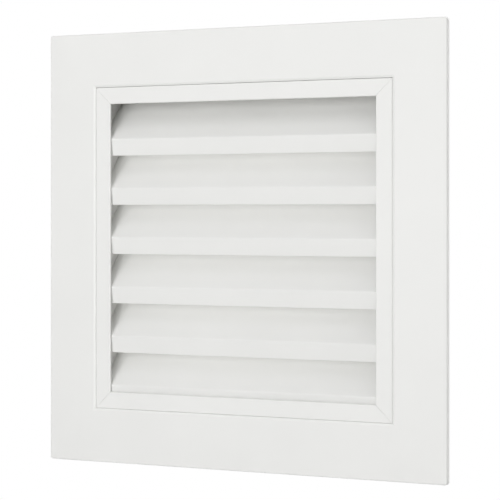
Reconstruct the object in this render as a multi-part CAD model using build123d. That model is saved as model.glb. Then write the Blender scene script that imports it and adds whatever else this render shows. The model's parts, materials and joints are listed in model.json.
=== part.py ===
from build123d import *
import math
import os

# A fixed-blade return air grille: a flanged frame, a core that snaps into it, and sloping blades in the core.
# Millimetres. +Z is up and the face looks along -Y. The wall's surface is the plane Y = 0.

# Whole face
face_size = 300.0
face_corner_radius = 2.0

# Flange of the frame: it rises a little from its outer edge to a bevel beside the groove
flange_width = 37.65
edge_height = 4.2
edge_radius = 1.0
flange_thickness = 1.4
flange_crown = 0.5
bevel_width = 1.6
bevel_drop = 0.6

# Groove round the core, which rests low and to the left in it
groove_gap = 0.12
groove_rest_gap = 0.05

# Neck that goes into the wall, with a ledge near its rear that the core is pushed in against
neck_thickness = 1.4
neck_depth = 40.0
ledge_width = 4.0
ledge_thickness = 1.2
fixing_hole_radius = 2.25
fixing_hole_spacing = 150.0
fixing_hole_depth = 14.0

# Hooked channels for the corner keys, behind the flange and at the rear of the core
rib_thickness = 1.0
hook_reach = 1.2
hook_thickness = 0.8
hook_wall_clearance = 0.3
key_clearance = 0.2
frame_channel_inset = 11.0
frame_channel_width = 14.0
frame_key_leg = 45.0
core_channel_width = 9.0
core_channel_margin = 1.0
core_key_leg = 30.0

# Core rails: a narrow face, and behind it a wall that is set back from the opening
core_face_width = 11.63
core_wall_inset = 7.3
core_thickness = 1.4
core_edge_radius = 0.6
core_mitre_gap = 0.1

# Blades: a lip that leans back a little, a slope behind it, a screw port and a tenon at each end
blade_count = 6
top_blade_clearance = 0.4
last_lip_clearance = 0.4
nose_clearance = 0.3
nose_radius = 1.0
lip_height = 11.6
lip_lean = 2.0
blade_thickness = 1.3
blade_edge_radius = 0.4
slope_depth = 31.4
slope_angle = 45.0
port_wall = 1.3
port_slit = 1.2
port_overlap = 0.4
tenon_width = 10.0
tenon_set_in = 10.8
tenon_clearance = 0.15

# Hexagon-headed screws that hold the blades
screw_shank_radius = 1.45
screw_length = 16.0
screw_head_flats = 5.5
screw_head_height = 2.4
screw_port_clearance = 0.05
screw_hole_clearance = 0.45

# Sprung clips that press on the neck and hold the core, each with a tab in a slot of the core
clip_thickness = 0.5
clip_width = 14.0
clip_offset = 60.0
clip_tip_start = 2.0
clip_tip_drop = 1.4
clip_tip_length = 3.5
clip_crest_length = 1.8
clip_leaf_length = 9.0
clip_foot_margin = 2.0
clip_bend_radius = 0.5
clip_slot_clearance = 0.2

# Sizes that follow from the ones above
half_face = face_size / 2
neck_inner_half = half_face - flange_width
neck_outer_half = neck_inner_half + neck_thickness
core_half = neck_inner_half - groove_gap
half_opening = core_half - core_face_width
wall_inner_half = half_opening + core_wall_inset
wall_outer_half = wall_inner_half + core_thickness
core_shift = groove_gap - groove_rest_gap
flange_back_y = flange_thickness - edge_height
crown_y = -edge_height - flange_crown
core_front_y = crown_y + bevel_drop
core_back_y = core_front_y + core_thickness
nose_y = core_back_y + nose_clearance
channel_depth = edge_height - flange_thickness - hook_thickness - hook_wall_clearance
key_thickness = channel_depth - key_clearance

# Slope, tenon and port of the blades, and the depths behind them
slope_y = math.cos(math.radians(slope_angle))
slope_z = math.sin(math.radians(slope_angle))
slope_length = slope_depth / slope_y
slope_rise = slope_length * slope_z
tenon_middle = slope_length - tenon_set_in - tenon_width / 2
tenon_rear_y = nose_y + (tenon_middle + tenon_width / 2) * slope_y + blade_thickness * slope_z
port_bore_radius = screw_shank_radius + screw_port_clearance
port_radius = port_bore_radius + port_wall
port_set_in = blade_thickness + port_radius - port_overlap
port_y = nose_y + port_set_in * (slope_y + slope_z)
port_rise = port_set_in * (slope_z - slope_y)
core_channel_start = tenon_rear_y + core_channel_margin + rib_thickness
core_channel_end = core_channel_start + core_channel_width
core_rear_y = core_channel_end + rib_thickness
ledge_back_y = core_rear_y + ledge_thickness


def nearest(shape, y, z):
    # The corner of a flat outline that is nearest to a point
    return shape.vertices().sort_by_distance((y, z, 0))[0]


def rectangle_from(y, z, deep, high):
    # A rectangle given by one corner and two signed sizes
    return Polygon((y, z), (y + deep, z), (y + deep, z + high), (y, z + high), align=None)


def strip_outline(points, thickness):
    # Outline of a bent strip: the points run along one side, and its thickness lies to the right of them
    units = []
    for (y0, z0), (y1, z1) in zip(points, points[1:]):
        length = math.hypot(y1 - y0, z1 - z0)
        units.append(((y1 - y0) / length, (z1 - z0) / length))
    other_side = []
    for index, (y, z) in enumerate(points):
        before = units[max(index - 1, 0)]
        after = units[min(index, len(units) - 1)]
        across_y = before[1] + after[1]
        across_z = -before[0] - after[0]
        stretch = thickness / (1 + before[0] * after[0] + before[1] * after[1])
        other_side.append((y + across_y * stretch, z + across_z * stretch))
    return Polygon(*points, *reversed(other_side), align=None), other_side


def corner_outline(near, far, leg):
    # An L lying in the lower left corner: its sides run from near to far, and each leg starts at the corner
    return Polygon(
        (-near, -near),
        (-near + leg, -near),
        (-near + leg, -far),
        (-far, -far),
        (-far, -near + leg),
        (-near, -near + leg),
        align=None,
    )


def along_x(outline, length):
    # A section drawn in depth and height, run along X with its middle at X = 0
    return extrude(Plane.YZ * outline, amount=length / 2, both=True)


def from_front(outline, front, rear):
    # A shape drawn as seen from the front, solid between two depths
    return extrude(Plane.XZ.offset(-front) * outline, amount=front - rear)


def mitred(rail, gap):
    # Keeps the part of a bottom rail that lies between the two lower diagonals, less half a gap at each
    drop = gap / math.sqrt(2)
    reach = 2 * half_face
    wedge = Polygon((0, -drop), (-reach, -reach - drop), (reach, -reach - drop), align=None)
    return rail & from_front(wedge, 2 * crown_y, 2 * neck_depth)


def quarter_turned(shape, quarters):
    # The bottom piece turned about Y: one quarter is the left, two the top and three the right
    return Rot(0, 90 * quarters, 0) * shape


# Frame rails
flange_section = Polygon(
    (0, -half_face),
    (-edge_height, -half_face),
    (crown_y, -neck_inner_half - bevel_width),
    (core_front_y, -neck_inner_half),
    (core_rear_y, -neck_inner_half),
    (core_rear_y, -neck_inner_half + ledge_width),
    (ledge_back_y, -neck_inner_half + ledge_width),
    (ledge_back_y, -neck_inner_half),
    (neck_depth, -neck_inner_half),
    (neck_depth, -neck_outer_half),
    (flange_back_y, -neck_outer_half),
    (flange_back_y, -half_face + flange_thickness),
    (0, -half_face + flange_thickness),
    align=None,
)
flange_section = fillet(nearest(flange_section, -edge_height, -half_face), edge_radius)
frame_channel_low = -half_face + frame_channel_inset
frame_channel_high = frame_channel_low + frame_channel_width
hook_y = flange_back_y + channel_depth
hook_length = rib_thickness + hook_reach
for rib_z, hook_z in (
    (frame_channel_low - rib_thickness, frame_channel_low - rib_thickness),
    (frame_channel_high, frame_channel_high - hook_reach),
):
    flange_section += rectangle_from(flange_back_y, rib_z, channel_depth, rib_thickness)
    flange_section += rectangle_from(hook_y, hook_z, hook_thickness, hook_length)
face_outline = RectangleRounded(face_size, face_size, face_corner_radius)
frame_rail = mitred(along_x(flange_section, face_size), 0)
frame_rail &= from_front(face_outline, 2 * crown_y, 2 * neck_depth)
fixing_holes = Part()
for sign in (-1, 1):
    fixing_spot = Pos(sign * fixing_hole_spacing / 2, fixing_hole_depth, -neck_inner_half)
    fixing_holes += fixing_spot * Cylinder(fixing_hole_radius, 4 * neck_thickness)
frame_side_rail = frame_rail - fixing_holes

# Flat corner keys behind the flange
frame_key_outline = corner_outline(
    -frame_channel_low - key_clearance,
    -frame_channel_high + key_clearance,
    frame_key_leg,
)
frame_key = from_front(frame_key_outline, flange_back_y, flange_back_y + key_thickness)

# Core rails
core_section = Polygon(
    (core_front_y, -core_half),
    (core_front_y, -half_opening),
    (core_back_y, -half_opening),
    (core_back_y, -wall_inner_half),
    (core_rear_y, -wall_inner_half),
    (core_rear_y, -wall_outer_half),
    (core_back_y, -wall_outer_half),
    (core_back_y, -core_half),
    align=None,
)
core_front_corners = [
    nearest(core_section, core_front_y, -core_half),
    nearest(core_section, core_front_y, -half_opening),
]
core_section = fillet(core_front_corners, core_edge_radius)
hook_z = -wall_outer_half - channel_depth
for rib_y, hook_y in (
    (core_channel_start - rib_thickness, core_channel_start - rib_thickness),
    (core_channel_end, core_channel_end - hook_reach),
):
    core_section += rectangle_from(rib_y, -wall_outer_half, rib_thickness, -channel_depth)
    core_section += rectangle_from(hook_y, hook_z, hook_length, -hook_thickness)
core_rail = mitred(along_x(core_section, 2 * core_half), core_mitre_gap)

# Angle keys at the core's corners
core_key_outline = corner_outline(wall_outer_half + key_thickness, wall_outer_half, core_key_leg)
core_key = from_front(core_key_outline, core_channel_start + key_clearance, core_channel_end - key_clearance)

# Blade layout: even steps between the top slope under the top wall and the last lip over the bottom wall
top_nose_height = wall_inner_half - top_blade_clearance - slope_rise
last_nose_height = -wall_inner_half + last_lip_clearance + lip_height
blade_pitch = (top_nose_height - last_nose_height) / (blade_count - 1)
nose_heights = [top_nose_height - number * blade_pitch for number in range(blade_count)]


def tenon_outline(nose_height, clearance):
    # Section of a tenon, as deep as the slope is thick
    rectangle = Rectangle(tenon_width + 2 * clearance, blade_thickness + 2 * clearance)
    along_slope = Pos(nose_y, nose_height) * Rot(0, 0, slope_angle)
    return along_slope * Pos(tenon_middle, -blade_thickness / 2) * rectangle


def fixed_blade(nose_height):
    # A blade whose lip and slope meet at the nose, with its open port behind them
    lip_foot = (nose_y + lip_lean, nose_height - lip_height)
    nose = (nose_y, nose_height)
    slope_rear = (nose_y + slope_depth, nose_height + slope_rise)
    outline, inner_side = strip_outline([lip_foot, nose, slope_rear], blade_thickness)
    outline = fillet(nearest(outline, *nose), nose_radius)
    outline = fillet([nearest(outline, *lip_foot), nearest(outline, *inner_side[0])], blade_edge_radius)
    port = Pos(port_y, nose_height + port_rise)
    slit = Rot(0, 0, slope_angle - 90) * Pos(port_radius, 0) * Rectangle(2 * port_radius, port_slit)
    outline += port * Circle(port_radius)
    outline -= port * Circle(port_bore_radius)
    outline -= port * slit
    tenons = along_x(tenon_outline(nose_height, 0), 2 * wall_outer_half)
    return along_x(outline, 2 * wall_inner_half) + tenons


# Blades from the top one down, and the side rails with their holes and slots
blades = [fixed_blade(nose_height) for nose_height in nose_heights]
blade_seats = Part()
for nose_height in nose_heights:
    hole = Rot(0, 90, 0) * Cylinder(screw_shank_radius + screw_hole_clearance, 4 * core_thickness)
    slot = along_x(tenon_outline(nose_height, tenon_clearance), 4 * core_thickness)
    blade_seats += Pos(-wall_inner_half, port_y, nose_height + port_rise) * hole
    blade_seats += Pos(-wall_inner_half, 0, 0) * slot
core_left = quarter_turned(core_rail, 1) - blade_seats
core_right = mirror(core_left, about=Plane.YZ)

# Screws through the side rails into the ports
screw_head = RegularPolygon(screw_head_flats / 2, 6, major_radius=False)
screw = extrude(screw_head, amount=screw_head_height)
screw += Cylinder(screw_shank_radius, screw_length, align=(Align.CENTER, Align.CENTER, Align.MAX))
screws = []
for nose_height in nose_heights:
    screws.append(Pos(-wall_outer_half, port_y, nose_height + port_rise) * Rot(0, -90, 0) * screw)
    screws.append(Pos(wall_outer_half, port_y, nose_height + port_rise) * Rot(0, 90, 0) * screw)

# Slots for the clips' tabs in the top and bottom rails
clip_foot_rear_y = core_channel_start - rib_thickness - clip_foot_margin
clip_slot = Box(
    clip_width + 2 * clip_slot_clearance,
    clip_thickness + 2 * clip_slot_clearance,
    4 * core_thickness,
)
core_bottom = core_rail
for sign in (-1, 1):
    clip_slot_spot = Pos(sign * clip_offset, clip_foot_rear_y + clip_thickness / 2, -wall_inner_half)
    core_bottom -= clip_slot_spot * clip_slot
core_top = quarter_turned(core_bottom, 2)


def sprung_clip(neck_gap):
    # A clip under the bottom rail whose crest reaches the neck across the given gap
    crest_z = -wall_outer_half - neck_gap + clip_thickness
    tip_y = core_back_y + clip_tip_start
    crest_front_y = tip_y + clip_tip_length
    crest_rear_y = crest_front_y + clip_crest_length
    points = [
        (tip_y, crest_z + clip_tip_drop),
        (crest_front_y, crest_z),
        (crest_rear_y, crest_z),
        (crest_rear_y + clip_leaf_length, -wall_outer_half),
        (clip_foot_rear_y, -wall_outer_half),
        (clip_foot_rear_y, -wall_inner_half),
    ]
    outline, outer_side = strip_outline(points, clip_thickness)
    outline = fillet([nearest(outline, *spot) for spot in points[1:4]], clip_bend_radius)
    return along_x(outline, clip_width)


# Clips, with the gap to the neck smaller below the core than above it
neck_gap = neck_inner_half - wall_outer_half
clip_below = sprung_clip(neck_gap - core_shift)
clip_above = quarter_turned(sprung_clip(neck_gap + core_shift), 2)
clip_to_left = Pos(-clip_offset, 0, 0)
clip_to_right = Pos(clip_offset, 0, 0)

# Every node by name, with the core and all that it carries moved to where it rests
core_nodes = {
    "core_bottom": core_bottom,
    "core_left": core_left,
    "core_top": core_top,
    "core_right": core_right,
    "core_key_bottom_left": core_key,
    "core_key_top_left": quarter_turned(core_key, 1),
    "core_key_top_right": quarter_turned(core_key, 2),
    "core_key_bottom_right": quarter_turned(core_key, 3),
    "blade_screws": Compound(screws),
    "clip_bottom_left": clip_to_left * clip_below,
    "clip_bottom_right": clip_to_right * clip_below,
    "clip_top_left": clip_to_left * clip_above,
    "clip_top_right": clip_to_right * clip_above,
}
for number, blade in enumerate(blades, start=1):
    core_nodes[f"blade_{number}"] = blade
nodes = {
    "frame_bottom": frame_rail,
    "frame_left": quarter_turned(frame_side_rail, 1),
    "frame_top": quarter_turned(frame_rail, 2),
    "frame_right": quarter_turned(frame_side_rail, 3),
    "frame_key_bottom_left": frame_key,
    "frame_key_top_left": quarter_turned(frame_key, 1),
    "frame_key_top_right": quarter_turned(frame_key, 2),
    "frame_key_bottom_right": quarter_turned(frame_key, 3),
}
for name, shape in core_nodes.items():
    nodes[name] = Pos(-core_shift, 0, -core_shift) * shape

os.makedirs("parts", exist_ok=True)
for name, shape in nodes.items():
    export_step(shape, f"parts/{name}.step")
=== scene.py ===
import json
import math

import bpy
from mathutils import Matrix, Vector


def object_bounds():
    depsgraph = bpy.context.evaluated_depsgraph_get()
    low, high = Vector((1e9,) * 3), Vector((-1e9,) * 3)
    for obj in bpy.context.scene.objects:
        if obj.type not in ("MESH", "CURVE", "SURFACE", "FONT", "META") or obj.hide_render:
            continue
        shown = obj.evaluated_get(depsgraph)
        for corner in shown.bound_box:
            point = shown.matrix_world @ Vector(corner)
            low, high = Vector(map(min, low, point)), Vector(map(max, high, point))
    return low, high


# The white return air grille as its photograph shows it: upright, seen from its right, on plain white.
# Metres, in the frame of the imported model: +Z is up, the face looks along -Y and the wall is at Y = 0.
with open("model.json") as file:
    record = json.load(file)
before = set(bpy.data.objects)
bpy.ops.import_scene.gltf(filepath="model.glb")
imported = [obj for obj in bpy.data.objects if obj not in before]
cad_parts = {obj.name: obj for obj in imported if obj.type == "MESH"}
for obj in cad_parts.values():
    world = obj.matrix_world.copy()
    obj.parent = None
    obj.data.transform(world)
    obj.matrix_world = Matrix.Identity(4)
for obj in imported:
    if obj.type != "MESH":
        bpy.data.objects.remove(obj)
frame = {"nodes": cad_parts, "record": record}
cad_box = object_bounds()
nodes = frame["nodes"]

# One millimetre in the scene's metres
MM = 0.001

# Camera: a long lens at about the height of the face's middle, to the right of it
camera_place = Vector((0.5861, -1.1444, 0.0238))
camera_turn = math.radians(26.85)
camera_lens = 136.8
camera_sensor = 36.0
camera_shift_down = 0.0723

# Room: a pale floor below the grille, which shows shadows near it and is plain white further off
floor_drop = 0.8
floor_half = 12.0
shadow_radius = 0.8
white_radius = 2.2

# Light: a dim room that is brighter to the right, and soft boxes in front, above and behind
bright_way = Vector((1.0, 0.0, 0.0))
dim_cosine = -0.1
bright_cosine = 0.9
dim_strength = 0.14
bright_strength = 0.85
front_box = {"place": Vector((-0.07, -1.49, 0.08)), "size": 0.7, "watts": 9.8}
upper_box = {"place": Vector((-0.27, -0.98, 1.1)), "size": 1.1, "watts": 4.4}
rear_box = {"place": Vector((0.0, 1.48, 0.15)), "size": 1.5, "watts": 17.7}

# Pocket behind the face of the core, where the coat is painted darker as shade, placed by the core's right
# rail
rail_points = [vertex.co for vertex in nodes["core_right"].data.vertices]
opening_edge = min(point.x for point in rail_points)
pocket_start = opening_edge + 2.4 * MM
pocket_full = opening_edge + 7.3 * MM
pocket_end = max(point.x for point in rail_points)
pocket_front = min(point.y for point in rail_points) + 1.5 * MM
pocket_depth = 1.5 * MM
pocket_fade = 0.1 * MM

# Values between which most of a noise pattern lies, where its two colours are put
noise_stops = (0.3, 0.7)


def linear(hex_colour):
    # An sRGB hex value as the linear colour that shaders use
    channels = [int(hex_colour[start:start + 2], 16) / 255 for start in (1, 3, 5)]
    lit = [c / 12.92 if c <= 0.04045 else ((c + 0.055) / 1.055) ** 2.4 for c in channels]
    return (*lit, 1.0)


def add_node(tree, kind, settings=None, links=None):
    # Adds a node with its settings and links: settings are sockets by name or number, or else properties
    node = tree.nodes.new(kind)
    for name, value in (settings or {}).items():
        if isinstance(name, int) or name in node.inputs:
            node.inputs[name].default_value = value
        else:
            setattr(node, name, value)
    for name, source in (links or {}).items():
        tree.links.new(source, node.inputs[name])
    return node


def new_material(name):
    # An empty material with only its output
    material = bpy.data.materials.new(name)
    material.use_nodes = True
    tree = material.node_tree
    tree.nodes.clear()
    return material, tree, tree.nodes.new("ShaderNodeOutputMaterial")


def painted_pocket_shade(tree, place):
    # Painted shade: none on open faces, and ever more inside the pocket behind the core's face
    way = add_node(tree, "ShaderNodeSeparateXYZ", links={"Vector": place})
    outward = add_node(tree, "ShaderNodeMath", {"operation": "ABSOLUTE"}, {0: way.outputs["X"]})
    under_face = add_node(
        tree,
        "ShaderNodeMapRange",
        {"From Min": pocket_start, "From Max": pocket_full},
        {"Value": outward.outputs["Value"]},
    )
    behind_face = add_node(
        tree,
        "ShaderNodeMapRange",
        {"From Min": pocket_front, "From Max": pocket_front + pocket_depth},
        {"Value": way.outputs["Y"]},
    )
    inside_rail = add_node(
        tree,
        "ShaderNodeMapRange",
        {"From Min": pocket_end, "From Max": pocket_end + pocket_fade, "To Min": 1.0, "To Max": 0.0},
        {"Value": outward.outputs["Value"]},
    )
    pocket = add_node(
        tree,
        "ShaderNodeMath",
        {"operation": "MULTIPLY"},
        {0: under_face.outputs["Result"], 1: behind_face.outputs["Result"]},
    )
    pocket_shade = add_node(
        tree,
        "ShaderNodeMath",
        {"operation": "MULTIPLY"},
        {0: pocket.outputs["Value"], 1: inside_rail.outputs["Result"]},
    )
    return pocket_shade.outputs["Value"]


def white_powder_coat():
    # Polyester powder baked on aluminium: a satin, faintly warm white whose skin has a soft orange peel;
    # its colour is painted darker inside the pocket behind the core's face, as shade
    peel_mm = 1.6
    flow_mm = 60.0
    material, tree, output = new_material("white_powder_coat_satin")
    place = add_node(tree, "ShaderNodeTexCoord").outputs["Object"]
    flow = add_node(
        tree, "ShaderNodeTexNoise", {"Scale": 1 / (flow_mm * MM), "Detail": 2.0}, {"Vector": place}
    )
    tint = add_node(tree, "ShaderNodeValToRGB", links={"Fac": flow.outputs["Fac"]})
    for element, stop, colour in zip(tint.color_ramp.elements, noise_stops, ("#F1F1EF", "#F3F3F1")):
        element.position = stop
        element.color = linear(colour)
    # Painted shade: the coat turns grey (#CECECB) inside the pocket behind the core's face, where shade
    # falls
    coat = add_node(
        tree,
        "ShaderNodeMixRGB",
        {"Color2": linear("#CECECB")},
        {"Fac": painted_pocket_shade(tree, place), "Color1": tint.outputs["Color"]},
    )
    gloss = add_node(
        tree, "ShaderNodeMapRange", {"To Min": 0.42, "To Max": 0.5}, {"Value": flow.outputs["Fac"]}
    )
    peel = add_node(
        tree, "ShaderNodeTexNoise", {"Scale": 1 / (peel_mm * MM), "Detail": 1.0}, {"Vector": place}
    )
    skin = add_node(
        tree, "ShaderNodeBump", {"Strength": 0.06, "Distance": 0.1 * MM}, {"Height": peel.outputs["Fac"]}
    )
    paint = add_node(
        tree,
        "ShaderNodeBsdfPrincipled",
        {"IOR": 1.5},
        {
            "Base Color": coat.outputs["Color"],
            "Roughness": gloss.outputs["Result"],
            "Normal": skin.outputs["Normal"],
        },
    )
    tree.links.new(paint.outputs["BSDF"], output.inputs["Surface"])
    return material


def zinc_plated_steel():
    # Pressed steel with a thin zinc plating: cool grey with a cloudy, uneven and rather dull shine
    cloud_mm = 6.0
    material, tree, output = new_material("zinc_plated_steel_pressed")
    place = add_node(tree, "ShaderNodeTexCoord").outputs["Object"]
    cloud = add_node(
        tree, "ShaderNodeTexNoise", {"Scale": 1 / (cloud_mm * MM), "Detail": 4.0}, {"Vector": place}
    )
    tint = add_node(tree, "ShaderNodeValToRGB", links={"Fac": cloud.outputs["Fac"]})
    for element, stop, colour in zip(tint.color_ramp.elements, noise_stops, ("#A6A9AD", "#C0C3C7")):
        element.position = stop
        element.color = linear(colour)
    shine = add_node(
        tree, "ShaderNodeMapRange", {"To Min": 0.5, "To Max": 0.62}, {"Value": cloud.outputs["Fac"]}
    )
    metal = add_node(
        tree,
        "ShaderNodeBsdfPrincipled",
        {"Metallic": 1.0},
        {"Base Color": tint.outputs["Color"], "Roughness": shine.outputs["Result"]},
    )
    tree.links.new(metal.outputs["BSDF"], output.inputs["Surface"])
    return material


def spring_steel():
    # Rolled and tempered strip: darker grey with fine rolling lines along its length
    line_mm = 0.5
    line_length_mm = 25.0
    material, tree, output = new_material("spring_steel_rolled")
    place = add_node(tree, "ShaderNodeTexCoord").outputs["Object"]
    across = 1 / (line_mm * MM)
    along = 1 / (line_length_mm * MM)
    stretch = add_node(tree, "ShaderNodeMapping", {"Scale": (across, along, along)}, {"Vector": place})
    lines = add_node(
        tree, "ShaderNodeTexNoise", {"Scale": 1.0, "Detail": 2.0}, {"Vector": stretch.outputs["Vector"]}
    )
    tint = add_node(tree, "ShaderNodeValToRGB", links={"Fac": lines.outputs["Fac"]})
    for element, stop, colour in zip(tint.color_ramp.elements, noise_stops, ("#7F8286", "#9B9EA2")):
        element.position = stop
        element.color = linear(colour)
    metal = add_node(
        tree,
        "ShaderNodeBsdfPrincipled",
        {"Metallic": 1.0, "Roughness": 0.34},
        {"Base Color": tint.outputs["Color"]},
    )
    tree.links.new(metal.outputs["BSDF"], output.inputs["Surface"])
    return material


def pale_floor():
    # Matt white studio floor: it keeps the shadow near the grille and turns to plain white further off
    material, tree, output = new_material("pale_studio_floor")
    matt = add_node(tree, "ShaderNodeBsdfDiffuse", {"Color": linear("#F4F4F3")})
    white = add_node(tree, "ShaderNodeEmission", {"Strength": 1.0})
    place = add_node(tree, "ShaderNodeNewGeometry").outputs["Position"]
    flat = add_node(tree, "ShaderNodeMapping", {"Scale": (1.0, 1.0, 0.0)}, {"Vector": place})
    reach = add_node(tree, "ShaderNodeVectorMath", {"operation": "LENGTH"}, {0: flat.outputs["Vector"]})
    far = add_node(
        tree,
        "ShaderNodeMapRange",
        {"From Min": shadow_radius, "From Max": white_radius},
        {"Value": reach.outputs["Value"]},
    )
    ray = add_node(tree, "ShaderNodeLightPath")
    seen = add_node(
        tree,
        "ShaderNodeMath",
        {"operation": "MULTIPLY"},
        {0: ray.outputs["Is Camera Ray"], 1: far.outputs["Result"]},
    )
    both = add_node(
        tree,
        "ShaderNodeMixShader",
        links={0: seen.outputs["Value"], 1: matt.outputs["BSDF"], 2: white.outputs["Emission"]},
    )
    tree.links.new(both.outputs["Shader"], output.inputs["Surface"])
    return material


def add_floor():
    # A square of floor below the grille
    level = cad_box[0][2] - floor_drop
    corners = [(x * floor_half, y * floor_half, level) for x, y in ((-1, -1), (1, -1), (1, 1), (-1, 1))]
    mesh = bpy.data.meshes.new("studio_floor")
    mesh.from_pydata(corners, [], [(0, 1, 2, 3)])
    floor = bpy.data.objects.new("studio_floor", mesh)
    mesh.materials.append(pale_floor())
    bpy.context.scene.collection.objects.link(floor)


def add_room_light():
    # White to the eye, in reflections and through glass, and a soft light that is stronger from one way
    world = bpy.data.worlds.new("white_room")
    world.use_nodes = True
    tree = world.node_tree
    tree.nodes.clear()
    place = add_node(tree, "ShaderNodeTexCoord").outputs["Generated"]
    nearness = add_node(
        tree, "ShaderNodeVectorMath", {"operation": "DOT_PRODUCT", 1: bright_way}, {0: place}
    )
    strength = add_node(
        tree,
        "ShaderNodeMapRange",
        {
            "From Min": dim_cosine,
            "From Max": bright_cosine,
            "To Min": dim_strength,
            "To Max": bright_strength,
        },
        {"Value": nearness.outputs["Value"]},
    )
    plain_white = (1.0, 1.0, 1.0, 1.0)
    room = add_node(
        tree, "ShaderNodeBackground", {"Color": plain_white}, {"Strength": strength.outputs["Result"]}
    )
    white = add_node(tree, "ShaderNodeBackground", {"Color": plain_white, "Strength": 1.0})
    ray = add_node(tree, "ShaderNodeLightPath")
    seen_or_mirrored = add_node(
        tree,
        "ShaderNodeMath",
        {"operation": "MAXIMUM"},
        {0: ray.outputs["Is Camera Ray"], 1: ray.outputs["Is Glossy Ray"]},
    )
    shown = add_node(
        tree,
        "ShaderNodeMath",
        {"operation": "MAXIMUM"},
        {0: seen_or_mirrored.outputs["Value"], 1: ray.outputs["Is Transmission Ray"]},
    )
    both = add_node(
        tree,
        "ShaderNodeMixShader",
        links={0: shown.outputs["Value"], 1: room.outputs["Background"], 2: white.outputs["Background"]},
    )
    output = tree.nodes.new("ShaderNodeOutputWorld")
    tree.links.new(both.outputs["Shader"], output.inputs["Surface"])
    bpy.context.scene.world = world


def add_soft_lamp(name, place, size, watts):
    # A square soft box that faces the middle of the grille
    lamp = bpy.data.lights.new(name, "AREA")
    lamp.shape = "SQUARE"
    lamp.size = size
    lamp.energy = watts
    holder = bpy.data.objects.new(name, lamp)
    holder.location = place
    holder.rotation_euler = (-place).to_track_quat("-Z", "Y").to_euler()
    bpy.context.scene.collection.objects.link(holder)


def add_camera():
    # A level camera whose picture is shifted instead of tilted, so that upright edges stay upright
    data = bpy.data.cameras.new("camera")
    data.sensor_width = camera_sensor
    data.lens = camera_lens
    data.shift_y = -camera_shift_down
    camera = bpy.data.objects.new("camera", data)
    camera.location = camera_place
    camera.rotation_euler = (math.pi / 2, 0, camera_turn)
    bpy.context.scene.collection.objects.link(camera)
    bpy.context.scene.camera = camera


# Finishes, by the record's material slots
finishes = {
    "white_powder_coat": white_powder_coat(),
    "zinc_plated_steel": zinc_plated_steel(),
    "spring_steel": spring_steel(),
}
for subpart in frame["record"]["subparts"]:
    mesh = nodes[subpart["node"]].data
    mesh.materials.clear()
    mesh.materials.append(finishes[subpart["material_slot"]])

add_floor()
add_room_light()
add_soft_lamp("front_soft_box", **front_box)
add_soft_lamp("upper_soft_box", **upper_box)
add_soft_lamp("rear_soft_box", **rear_box)
add_camera()
bpy.context.scene.view_settings.view_transform = "Standard"
